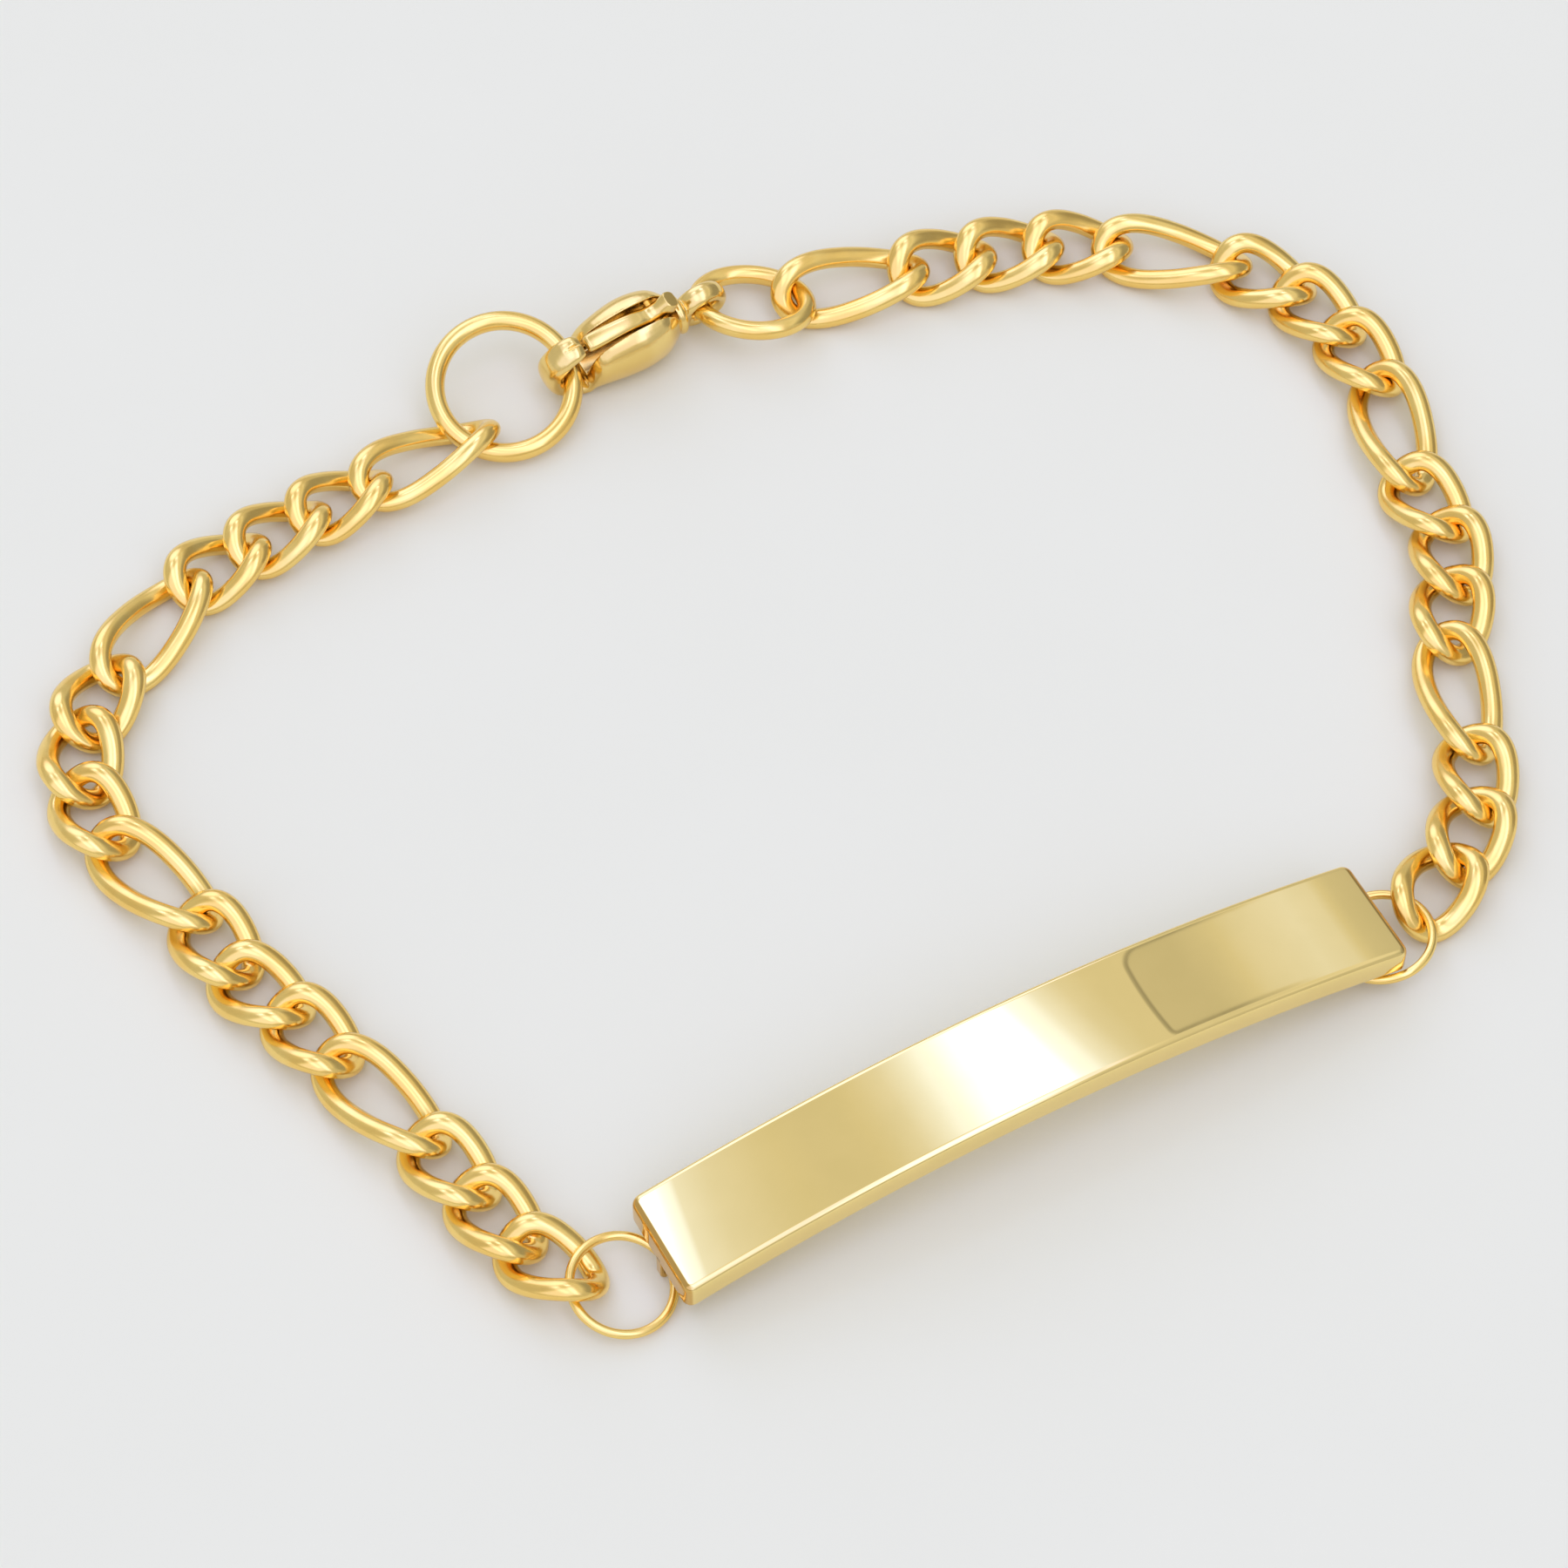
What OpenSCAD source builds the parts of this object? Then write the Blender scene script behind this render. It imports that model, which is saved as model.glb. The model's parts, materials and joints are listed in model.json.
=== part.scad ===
// Identity bracelet: a curved plate on a chain of three short links and one long,
// closed by a lobster clasp and lying flat as one loop. Millimetres, +Z up.
// The origin is the middle of the loop's box, on the surface that it lies on.

/* [Chain] */
// Diameter of the round wire of the links
link_wire = 0.9; // [0.8:0.02:0.9]
// Length of a short link from joint to joint
short_pitch = 3.6; // [3.5:0.05:3.7]
// Length of a long link from joint to joint
long_pitch = 6.3; // [6:0.1:6.5]
// Free play in each joint, along the chain
joint_play = 0.2; // [0.2:0.02:0.3]
// Half the width of a link, to the middle of its wire
link_half_width = 1.58; // [1.55:0.01:1.62]
// How far the twisted sides of a link rise and fall from its middle plane
link_rise = 0.64; // [0.6:0.01:0.68]
// Fullness of a link's oval, where 2 is a plain ellipse
link_fullness = 2.1; // [2:0.05:2.3]

/* [Plate] */
// Length of the plate, straight from end to end
plate_length = 39; // [36:0.5:40]
// Width of the plate
plate_width = 5.8; // [5.4:0.1:6.2]
// Thickness of the plate
plate_thickness = 1.6; // [1.3:0.1:1.7]
// Height of the plate's arch between its ends
plate_arch = 2.25; // [2:0.05:2.5]
// Rounding of the plate's long edges
plate_edge_radius = 0.3; // [0.1:0.05:0.5]
// Rounding of the plate's corners, seen from above
plate_corner_radius = 0.5; // [0.2:0.1:1]
// Heading of the plate's length, counter-clockwise from +X
plate_heading = 28.5; // [27:0.5:30]
// Lean of the plate, with its far side up
plate_lean = 0; // [-2:1:2]

/* [Rings] */
// Diameter of the wire of the thin rings at the plate
thin_wire = 0.42; // [0.36:0.02:0.44]
// Radius of the thin rings, to the middle of their wire
thin_ring_radius = 2.47; // [2.46:0.01:2.48]
// Diameter of the wire of the two clasp rings
ring_wire = 0.9; // [0.8:0.02:0.92]
// Half the length of the big ring that the clasp grips, to the middle of its wire
big_ring_half_length = 3.53; // [3.5:0.01:3.56]
// Half the width of the big ring, to the middle of its wire
big_ring_half_width = 3.6; // [3.57:0.01:3.63]
// Half the length of the oval ring in the clasp's eye, to the middle of its wire
oval_ring_half_length = 2.85; // [2.82:0.01:2.88]
// Half the width of the oval ring, to the middle of its wire
oval_ring_half_width = 2.34; // [2.3:0.01:2.38]

/* [Clasp] */
// Heading of the clasp, from its hook to its eye
clasp_heading = 32; // [31:1:33]
// Lean of the clasp, with its far side up
clasp_lean = 14; // [10:1:18]
// Width of the lever
lever_width = 1.05; // [0.9:0.05:1.15]
// Gap between the lever and each cheek of the body
lever_gap = 0.1; // [0.08:0.01:0.15]
// Diameter of the lever's rivet
rivet_wire = 0.6; // [0.5:0.02:0.62]
// Radius of the hole in the eye
eye_hole_radius = 0.75; // [0.74:0.01:0.8]

/* [Hidden] */
links_per_side = 16;
gold = "#e0bd6b";
pale_gold = "#ead08f";

// Middle of the loop's box in the layout that the places below are given in
loop_middle = [-0.31, 2.62];

// Where each chain's first joint lies
left_start = [-9.25, -27.9];
right_start = [30.47, -7.64];

// Links from the plate outwards: heading, lean with the left side up
left_route = [
    [147, 8], [128, 8], [129, 7], [135, 6],
    [131, 5], [141, 4], [120, 3], [137, 2],
    [117, 2], [92, 2], [66, 2], [58, 0],
    [38, -2], [34, -5], [33, -8], [31, -10]];
right_route = [
    [55, 10], [67, 9], [93, 9], [98, 7],
    [79, 6], [93, 4], [120, 4], [100, 3],
    [119, 2], [130, 1], [152, 0], [169, 0],
    [181, -2], [191, -4], [196, -7], [195, -10]];
long_every = 4;

// Plate place: middle of its top face. Each loop under its ends is a strap bent in a U,
// whose legs sink into the plate by loop_sink at its outer and inner end.
plate_middle = [11.32, -17.57, 5.12];
loop_wire = 0.24;
loop_strap_width = 0.45;
loop_length = 3.5;
loop_drop = 1.22;
loop_sink = [0.3, 1];
plate_radius = (pow(plate_length / 2, 2) + pow(plate_arch, 2)) / (2 * plate_arch);

// Ring places: middle, heading of the highest point, tilt
ring_left_place = [[-7.49, -27.81, 0.89], 152, 12.5];
ring_right_place = [[28.66, -8.9, 1.15], -15, 7.2];
big_ring_place = [[-14.27, 23.93, 1.87], 107.5, 17.7];
big_ring_heading = -5;
oval_ring_place = [[-1.64, 29.74, 1.45], 261.8, 14];
oval_ring_heading = -13.6;

// Clasp place: under the hook's outermost point. The other places are in the clasp's own frame.
clasp_place = [-12.6, 24.82, 0.13];
eye_place = [9.5, 0, 1.5];
eye_wire = 0.72;
collar_place = [8.05, 0, 1.62];
collar_radius = 0.86;
collar_wire = 0.48;
rivet_place = [6.6, 0, 2.85];
rivet_fit = 0.02;
pin_length = 3.1;
lever_bore = 0.72;
slot_floor = 1.2;
slot_ends = [2.6, 7.8];
claw_fullness = 2.6;
// Claw from the hook's tip to the neck: along, up, path angle, half height, half width
claw_sections = [
    [2.15, 3.50, 184, 0.26, 0.66],
    [1.75, 3.52, 190, 0.38, 0.80],
    [1.10, 3.24, 222, 0.42, 0.86],
    [0.58, 2.54, 252, 0.42, 0.90],
    [0.46, 1.75, 272, 0.42, 0.94],
    [0.76, 0.94, 306, 0.42, 1.00],
    [1.50, 0.48, 345, 0.42, 1.12],
    [2.35, 0.46, 360, 0.44, 1.32],
    [2.80, 0.66, 360, 0.62, 1.42],
    [3.05, 1.25, 360, 1.19, 1.50],
    [3.50, 1.68, 360, 1.60, 1.60],
    [4.50, 1.88, 360, 1.82, 1.82],
    [5.60, 1.96, 360, 1.90, 1.88],
    [6.70, 1.94, 360, 1.84, 1.68],
    [7.40, 1.80, 360, 1.46, 1.30],
    [7.90, 1.64, 360, 0.92, 0.92],
    [8.75, 1.50, 360, 0.40, 0.50]];
// Lever from its tip to its thumb tab: along, up, path angle, half height, half width
lever_sections = [
    [2.30, 3.40, 0, 0.22, 0.70],
    [2.55, 3.42, 0, 0.32, 0.92],
    [3.60, 3.46, 0, 0.38, 1.00],
    [4.80, 3.46, 0, 0.42, 1.00],
    [5.60, 3.32, 0, 0.58, 1.00],
    [6.20, 3.06, 0, 0.82, 1.00],
    [6.80, 3.06, 8, 0.90, 1.00],
    [7.15, 3.40, 35, 0.72, 1.00],
    [7.40, 4.05, 65, 0.34, 0.85]];
lever_fullness = 3;
section_sides = 16;
link_stations = 16;
wire_sides = 6;
// Longer than any cut is deep
through = 4;

function link_name(side, i) = str("link_", side, i < 10 ? "_0" : "_", i);
function unit(v) = v / norm(v);
function squarish(v, fullness) = sign(v) * pow(abs(v), 2 / fullness);
function oval(half_length, half_width, fullness, angle) =
    [half_length * squarish(cos(angle), fullness), half_width * squarish(sin(angle), fullness)];

// Length of link i, and the joint that it starts from
function is_long(i) = i % long_every == 0;
function pitch(i) = is_long(i) ? long_pitch : short_pitch;
function joint(route, start, i) = i == 1 ? start
    : joint(route, start, i - 1) + pitch(i - 1) * heading_vector(route[i - 2][0]);
function heading_vector(angle) = [cos(angle), sin(angle)];

// Height of a leaning link's middle, where its lowest point touches the surface
function resting_height(lean) = link_wire / 2
    - min([for (p = link_line(short_pitch)) p.y * sin(lean) + p.z * cos(lean)]);

// Centreline of a twisted link, and of a flat oval ring
function link_line(half_length) = [for (k = [0 : link_stations - 1])
    let (a = 360 * k / link_stations, p = oval(half_length, link_half_width, link_fullness, a))
    [p.x, p.y, -link_rise * sin(2 * a)]];
function flat_line(half_length, half_width) = [for (k = [0 : link_stations - 1])
    let (a = 360 * k / link_stations) [half_length * cos(a), half_width * sin(a), 0]];

// Ring of points round a closed line's point k
function wire_ring(line, k, radius) =
    let (
        n = len(line),
        ahead = unit(line[(k + 1) % n] - line[(k + n - 1) % n]),
        out = unit(cross(ahead, [0, 0, 1])),
        up = cross(out, ahead))
    [for (j = [0 : wire_sides - 1])
        let (a = 360 * (j + 0.5) / wire_sides) line[k] + radius * (cos(a) * out + sin(a) * up)];

// Oval ring of points of one section of the claw or the lever
function section_ring(s, fullness, width) = [for (j = [0 : section_sides - 1])
    let (
        p = oval(s[3], s[4] * width, fullness, 360 * j / section_sides),
        up = [-sin(s[2]), 0, cos(s[2])])
    [s[0], 0, s[1]] + p.x * up + [0, p.y, 0]];

// Triangles between ring k and ring m of n points each
function band(k, m, n) = [for (j = [0 : n - 1])
    let (a = k * n + j, b = k * n + (j + 1) % n, c = m * n + j, d = m * n + (j + 1) % n)
    each [[a, b, c], [b, d, c]]];

// Wire of round section swept along a closed line
module closed_wire(line, wire) {
    n = len(line);
    rings = [for (k = [0 : n - 1]) wire_ring(line, k, wire / 2)];
    polyhedron(
        points = [for (r = rings) each r],
        faces = [for (k = [0 : n - 1]) each band(k, (k + 1) % n, wire_sides)]);
}

// Solid lofted through oval sections, closed flat at both ends
module lofted(sections, fullness, width = 1) {
    n = section_sides;
    last = len(sections) - 1;
    polyhedron(
        points = [for (s = sections) each section_ring(s, fullness, width)],
        faces = concat(
            [for (k = [0 : last - 1]) each band(k, k + 1, n)],
            [for (j = [1 : n - 2]) [0, j + 1, j]],
            [for (j = [1 : n - 2]) [last * n, last * n + j, last * n + j + 1]]));
}

// Round ring of round wire, flat in XY
module round_ring(radius, wire) {
    rotate_extrude($fn = 96) translate([radius, 0]) circle(d = wire, $fn = 24);
}

// Moves the layout so that the middle of the loop is the origin
module in_loop() {
    translate([-loop_middle.x, -loop_middle.y, 0]) children();
}

// Puts a flat ring at its place, tilted up towards a heading
module ring_at(place) {
    in_loop() translate(place[0]) rotate([0, 0, place[1]]) rotate([0, -place[2], 0])
        rotate([0, 0, -place[1]]) children();
}

// Link i of a chain
module chain_link(route, start, i) {
    heading = route[i - 1][0];
    lean = route[i - 1][1];
    half = pitch(i) / 2;
    middle = joint(route, start, i) + half * heading_vector(heading);
    color(gold) in_loop() translate([middle.x, middle.y, resting_height(lean)])
        rotate([0, 0, heading]) rotate([lean, 0, 0])
        closed_wire(link_line(half + (link_wire + joint_play) / 2), link_wire);
}

// Outline of the plate's cross-section, with rounded long edges
module plate_profile() {
    r = plate_edge_radius;
    translate([-plate_thickness, r - plate_width / 2])
        square([plate_thickness, plate_width - 2 * r]);
    translate([r - plate_thickness, -plate_width / 2])
        square([plate_thickness - 2 * r, plate_width]);
    for (x = [-r, r - plate_thickness], y = [r - plate_width / 2, plate_width / 2 - r])
        translate([x, y]) circle(r = r, $fn = 32);
}

// Outline of the plate from above, with rounded corners
module plate_outline() {
    r = plate_corner_radius;
    square([plate_length - 2 * r, plate_width], center = true);
    square([plate_length, plate_width - 2 * r], center = true);
    for (x = [-1, 1], y = [-1, 1])
        translate([x * (plate_length / 2 - r), y * (plate_width / 2 - r)]) circle(r = r, $fn = 32);
}

// Flat loop under the plate's right end, in the plate's own frame
module under_loop() {
    outer = plate_length / 2;
    inner = outer - loop_length;
    floor = -plate_arch - plate_thickness - loop_drop;
    translate([0, loop_strap_width / 2, 0]) rotate([90, 0, 0]) linear_extrude(loop_strap_width) {
        translate([inner, floor]) square([loop_length, loop_wire]);
        translate([inner, floor]) square([loop_wire, loop_drop + loop_sink[1]]);
        translate([outer - loop_wire, floor]) square([loop_wire, loop_drop + loop_sink[0]]);
    }
}

module plate() {
    half_turn = asin(plate_length / 2 / plate_radius) + 1;
    color(pale_gold) in_loop() translate(plate_middle)
        rotate([0, 0, plate_heading]) rotate([plate_lean, 0, 0]) {
            intersection() {
                translate([0, 0, -plate_radius]) rotate([90, 0, 0])
                    rotate([0, 0, 90 - half_turn])
                    rotate_extrude(angle = 2 * half_turn, $fn = 180)
                    translate([plate_radius, 0]) plate_profile();
                translate([0, 0, -plate_arch - 2 * plate_thickness])
                    linear_extrude(plate_arch + 3 * plate_thickness) plate_outline();
            }
            under_loop();
            mirror([1, 0, 0]) under_loop();
        }
}

module ring_left() {
    color(gold) ring_at(ring_left_place) round_ring(thin_ring_radius, thin_wire);
}

module ring_right() {
    color(gold) ring_at(ring_right_place) round_ring(thin_ring_radius, thin_wire);
}

module ring_clasp_end() {
    color(gold) ring_at(big_ring_place) rotate([0, 0, big_ring_heading])
        closed_wire(flat_line(big_ring_half_length, big_ring_half_width), ring_wire);
}

module ring_clasp() {
    color(gold) ring_at(oval_ring_place) rotate([0, 0, oval_ring_heading])
        closed_wire(flat_line(oval_ring_half_length, oval_ring_half_width), ring_wire);
}

// Clasp's own frame: X from the hook to the eye, the gate on top
module clasp_frame() {
    in_loop() translate(clasp_place) rotate([0, 0, clasp_heading]) rotate([clasp_lean, 0, 0])
        children();
}

// Round bar across the clasp, through the rivet's place
module across(diameter, length) {
    translate(rivet_place) rotate([90, 0, 0])
        cylinder(d = diameter, h = length, center = true, $fn = 32);
}

module clasp_body() {
    slot_width = lever_width + 2 * lever_gap;
    color(gold) clasp_frame() difference() {
        union() {
            lofted(claw_sections, claw_fullness);
            translate(collar_place) rotate([0, 90, 0]) round_ring(collar_radius, collar_wire);
            translate(eye_place) rotate([90, 0, 0])
                round_ring(eye_hole_radius + eye_wire / 2, eye_wire);
        }
        translate([slot_ends[0], -slot_width / 2, slot_floor])
            cube([slot_ends[1] - slot_ends[0], slot_width, through]);
        across(rivet_wire + rivet_fit, through);
    }
}

module clasp_lever() {
    color(gold) clasp_frame() difference() {
        lofted(lever_sections, lever_fullness, lever_width / 2);
        across(lever_bore, through);
    }
}

module clasp_pin() {
    color(gold) clasp_frame() across(rivet_wire, pin_length);
}

plate();
ring_left();
ring_right();
ring_clasp_end();
ring_clasp();
clasp_body();
clasp_lever();
clasp_pin();
for (i = [1 : links_per_side]) {
    chain_link(left_route, left_start, i);
    chain_link(right_route, right_start, i);
}
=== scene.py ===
# %% [markdown]
# # An identity bracelet in polished gold
# This lesson dresses a finished CAD model. The model is a bracelet that lies on a pale
# table: a curved name plate, a chain of twisted links, four rings and a lobster clasp.
# The CAD part is loaded first as a fixed frame.

# %% Load the frame
import json
import math

import bmesh
import bpy
import numpy as np
from mathutils import Matrix, Vector


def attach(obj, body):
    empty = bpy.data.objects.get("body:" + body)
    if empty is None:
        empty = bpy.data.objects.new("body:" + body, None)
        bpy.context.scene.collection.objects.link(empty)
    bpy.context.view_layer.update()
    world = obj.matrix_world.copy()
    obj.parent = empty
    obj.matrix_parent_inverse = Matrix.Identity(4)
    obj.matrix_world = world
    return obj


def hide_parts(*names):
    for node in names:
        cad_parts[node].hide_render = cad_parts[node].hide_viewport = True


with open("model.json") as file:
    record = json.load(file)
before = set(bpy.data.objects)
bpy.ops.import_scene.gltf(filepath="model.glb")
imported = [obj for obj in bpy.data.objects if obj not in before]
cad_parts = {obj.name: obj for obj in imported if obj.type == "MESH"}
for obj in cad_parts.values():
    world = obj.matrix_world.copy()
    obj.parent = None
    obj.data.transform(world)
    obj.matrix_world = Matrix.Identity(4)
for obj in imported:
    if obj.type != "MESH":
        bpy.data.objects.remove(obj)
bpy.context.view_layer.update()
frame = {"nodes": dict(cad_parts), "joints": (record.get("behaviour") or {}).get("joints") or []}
scene = bpy.context.scene
scene.view_settings.view_transform = "Standard"
MM = 0.001


# %% [markdown]
# ## Formulas for nodes
# Shader and geometry maths could be wired by hand in the node editor, but a long formula
# gets lost in its links, and it reads best as a formula. `Sock` wraps one socket of a
# node and turns Python's operators into Math nodes, so that `1 - mask` works.

# %% Sockets with operators


class Sock:
    """One output socket, with Python operators that add Math nodes."""

    def __init__(self, tree, socket):
        self.tree = tree
        self.socket = socket

    def math(self, operation, *others):
        return self.tree.node("ShaderNodeMath", {"operation": operation},
                              dict(enumerate((self,) + others)))

    def __add__(self, other):
        return self.math("ADD", other)

    def __sub__(self, other):
        return self.math("SUBTRACT", other)

    def __mul__(self, other):
        return self.math("MULTIPLY", other)

    def __truediv__(self, other):
        return self.math("DIVIDE", other)

    def __rsub__(self, other):
        return self.tree.number(other) - self

    def __rtruediv__(self, other):
        return self.tree.number(other) / self

    __radd__ = __add__
    __rmul__ = __mul__

    def __neg__(self):
        return self * -1.0

    def power(self, exponent):
        return self.math("POWER", exponent)

    def size(self):
        return self.math("ABSOLUTE")

    def at_least(self, low):
        return self.math("MAXIMUM", low)

    def at_most(self, high):
        return self.math("MINIMUM", high)

    def between(self, low, high):
        """0 below low, 1 above high, and a smooth step between."""
        return self.tree.node("ShaderNodeMapRange", {"interpolation_type": "SMOOTHSTEP"},
                              {"Value": self, "From Min": low, "From Max": high})


# %% [markdown]
# `Tree` holds the tree that is being built. Every node comes from `Tree.node`, which
# sets a node's options first and its sockets after, because some options change which
# sockets a node has. Colours go through Mix and directions through Vector Math, since a
# Math node would turn them into one grey value.

# %% Trees of nodes


class Tree:
    """A node tree that is being built."""

    def __init__(self, tree):
        self.tree = tree

    def node(self, kind, settings=None, values=None, out=0):
        """Adds a node of a type with its settings and socket values or links."""
        made = self.tree.nodes.new(kind)
        for name, value in (settings or {}).items():
            if name == "stops":
                self.set_stops(made.color_ramp, value)
            else:
                setattr(made, name, value)
        for name, value in (values or {}).items():
            socket = made.inputs[name]
            if isinstance(value, Sock):
                self.tree.links.new(value.socket, socket)
            else:
                socket.default_value = value
        return Sock(self, made.outputs[out]) if len(made.outputs) else made

    def also(self, sock, out):
        """Another output of the node that sock comes from."""
        return Sock(self, sock.socket.node.outputs[out])

    def number(self, value):
        """A number as a socket."""
        return self.node("ShaderNodeMath", {"operation": "ADD"}, {0: value, 1: 0.0})

    def mix(self, share, first, second):
        """A colour between two others, each given as a colour or as a socket."""
        colours = [c + (1.0,) if isinstance(c, tuple) else c for c in (first, second)]
        return self.node("ShaderNodeMix", {"data_type": "RGBA"},
                         {0: share, 6: colours[0], 7: colours[1]}, out=2)

    def noise(self, place, scale, detail):
        return self.node("ShaderNodeTexNoise", {},
                         {"Vector": place, "Scale": scale, "Detail": detail})

    def part_along(self, place, way):
        """How far a place lies, or a direction leans, along a unit vector."""
        return self.node("ShaderNodeVectorMath", {"operation": "DOT_PRODUCT"},
                         {0: place, 1: way}, out="Value")

    def set_stops(self, ramp, stops):
        """Sets a ramp's greys, given as rows of place and value."""
        while len(ramp.elements) > 1:
            ramp.elements.remove(ramp.elements[-1])
        for k, (place, grey) in enumerate(stops):
            element = ramp.elements[0] if k == 0 else ramp.elements.new(place)
            element.position = place
            element.color = (grey, grey, grey, 1.0)


def new_tree(owner):
    """The cleared node tree of a material or world."""
    owner.use_nodes = True
    owner.node_tree.nodes.clear()
    return Tree(owner.node_tree)


# %% [markdown]
# ## Gold
# Polished gold is a plain metal shader: its colour is the colour of what it mirrors.
# What makes it look real is small: a hazy patch here and there, hairlines from wear and
# polishing, and a surface that isn't perfectly even. All of it is made from noise on
# Object coordinates, in the true scale of tenths of a millimetre. A scanned image of
# scratches could do the same, but noise needs no file and no unwrapping.

# %% Gold finishes
# Darker, warmer gold for the plate's ends: a painted reflection of the shade and chain they mirror.
painted_end_reflection = (0.72, 0.45, 0.13)


def gold(name, bright, warm, roughness, hairlines=0.0, evenness=0.02, heading=0.0, ends=None):
    """Gold whose colour drifts between two tones, with haze, hairlines and dents.

    ends is a middle and a reach along the heading, past which a darker gold is painted on as a
    painted reflection of shade."""
    material = bpy.data.materials.new(name)
    t = new_tree(material)
    place = t.node("ShaderNodeTexCoord", out="Object")
    tone = t.mix(t.noise(place, 420.0, 3.0).between(0.35, 0.65), bright, warm)
    if ends:
        middle, reach = ends
        blur = 0.06 * MM
        offset = t.node("ShaderNodeVectorMath", {"operation": "SUBTRACT"}, {0: place, 1: middle})
        out = t.part_along(offset, (math.cos(heading), math.sin(heading), 0.0)).size()
        # Past the reach the ends get the darker gold: painted shade and reflection.
        tone = t.mix(out.between(reach - blur, reach + blur), tone, painted_end_reflection)
    stretched = t.node("ShaderNodeMapping", {}, {
        "Vector": place, "Rotation": (0.0, 0.0, -heading), "Scale": (90.0, 9000.0, 9000.0)})
    lines = t.noise(stretched, 1.0, 4.0)
    haze = t.noise(place, 900.0, 2.0).between(0.3, 0.75)
    rough = roughness + haze * (roughness / 2) + lines.between(0.45, 0.8) * hairlines
    dents = t.node("ShaderNodeBump", {}, {
        "Height": t.noise(place, 1500.0, 2.0), "Strength": evenness, "Distance": 0.1 * MM})
    scored = t.node("ShaderNodeBump", {}, {
        "Height": lines, "Strength": hairlines, "Distance": 0.004 * MM, "Normal": dents})
    shader = t.node("ShaderNodeBsdfPrincipled", {}, {
        "Base Color": tone, "Metallic": 1.0, "Roughness": rough, "Normal": scored})
    t.node("ShaderNodeOutputMaterial", {}, {"Surface": shader})
    return material


# %% [markdown]
# Three finishes are used. The plate is a mirror, and the table's pale tones make its gold
# look lighter than the chain's. Its ends get a darker gold painted on, a painted reflection
# of the shade and the chain that they mirror. The chain and the clasp were tumbled to a
# softer shine.

# %% The three golds
plate_heading = math.radians(28.5)
plate_middle = Vector((11.63, -20.19, 5.12)) * MM
# The plate's ends carry a painted reflection of shade: a darker gold past 19.2 mm from the middle.
plate_gold = gold("plate_gold", (0.965, 0.755, 0.31), (0.945, 0.74, 0.30), 0.008,
                  evenness=0.0001, heading=plate_heading, ends=(plate_middle, 19.2 * MM))
chain_gold = gold("chain_gold", (1.0, 0.725, 0.235), (0.98, 0.66, 0.185), 0.16, hairlines=0.03)
clasp_gold = gold("clasp_gold", (0.94, 0.70, 0.26), (0.90, 0.64, 0.21), 0.14, hairlines=0.03)
print("finishes:", plate_gold.name, chain_gold.name, clasp_gold.name)

# %% [markdown]
# ## Where the pieces lie
# Each link and ring of the CAD model is a closed wire that is the same seen from either
# side of its two long planes. So the main axes of its points give its place and turn, and
# nothing has to be copied from the CAD source by hand.

# %% Measure a wire of the CAD model


def mesh_points(node):
    """Every different point of a CAD node, as rows of x, y, z."""
    mesh = frame["nodes"][node].data
    co = np.zeros(len(mesh.vertices) * 3)
    mesh.vertices.foreach_get("co", co)
    return np.unique(co.reshape(-1, 3).round(7), axis=0)


def wire_place(node):
    """Middle, turn and half sizes of a closed wire, with X along its length."""
    points = mesh_points(node)
    middle = points.mean(0)
    axes = np.linalg.eigh(np.cov((points - middle).T))[1]
    x, y = axes[:, 2], axes[:, 1]
    z = np.cross(x, y)
    turn = Matrix((x, y, z)).transposed()
    local = (points - middle) @ np.array((x, y, z)).T
    half = (local.max(0) - local.min(0)) / 2
    return Vector(middle), turn.to_euler(), half


sides = ("left", "right")
link_names = [f"link_{side}_{k:02d}" for side in sides for k in range(1, 17)]
link_places = {name: wire_place(name) for name in link_names}
short_links = [n for n in link_names if link_places[n][2][0] < 3 * MM]
long_links = [n for n in link_names if n not in short_links]
for name in (short_links[0], long_links[0]):
    print(name, "half sizes in mm:", (link_places[name][2] / MM).round(3))

# %% [markdown]
# ## One tree for every wire
# A link is a round wire that follows an oval whose sides rise and fall, which is what
# makes the chain lie flat. A ring is the same wire with no rise. Each could be a bevelled
# curve of its own. Geometry Nodes fits better: the tree makes the wire once from its
# named sizes and puts a copy on each point of a small mesh that holds the places.
# Broadness widens the wire level with the link, because the links of such a chain are
# pressed flat. The tree ends in real geometry with its material set, because an export
# drops instances.

# %% Named sizes of a wire
wire_inputs = {
    "Half Length": ("NodeSocketFloat", 2.35 * MM),
    "Half Width": ("NodeSocketFloat", 1.58 * MM),
    "Rise": ("NodeSocketFloat", 0.0),
    "Fullness": ("NodeSocketFloat", 2.0),
    "Wire Radius": ("NodeSocketFloat", 0.44 * MM),
    "Broadness": ("NodeSocketFloat", 1.0),
    "Stations": ("NodeSocketInt", 72),
    "Sides": ("NodeSocketInt", 16),
    "Material": ("NodeSocketMaterial", None),
}
print("inputs of the wire tree:", ", ".join(wire_inputs))

# %% [markdown]
# The path runs once round an oval. A power below one fills out its sides, and a rise
# with two waves in each turn twists the link, so that its neighbours can lie flat.

# %% Path of a wire


def wire_path(t, size):
    """Points of the oval: full sides by a power below one, and two waves of rise."""
    angle = t.node("GeometryNodeSplineParameter") * (2 * math.pi)
    power = 2.0 / size["Fullness"]

    def oval(operation, half):
        wave = angle.math(operation)
        return wave.math("SIGN") * wave.size().power(power) * half

    return t.node("ShaderNodeCombineXYZ", {}, {
        0: oval("COSINE", size["Half Length"]),
        1: oval("SINE", size["Half Width"]),
        2: -((angle * 2).math("SINE") * size["Rise"])})


# %% The wire tree


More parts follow.
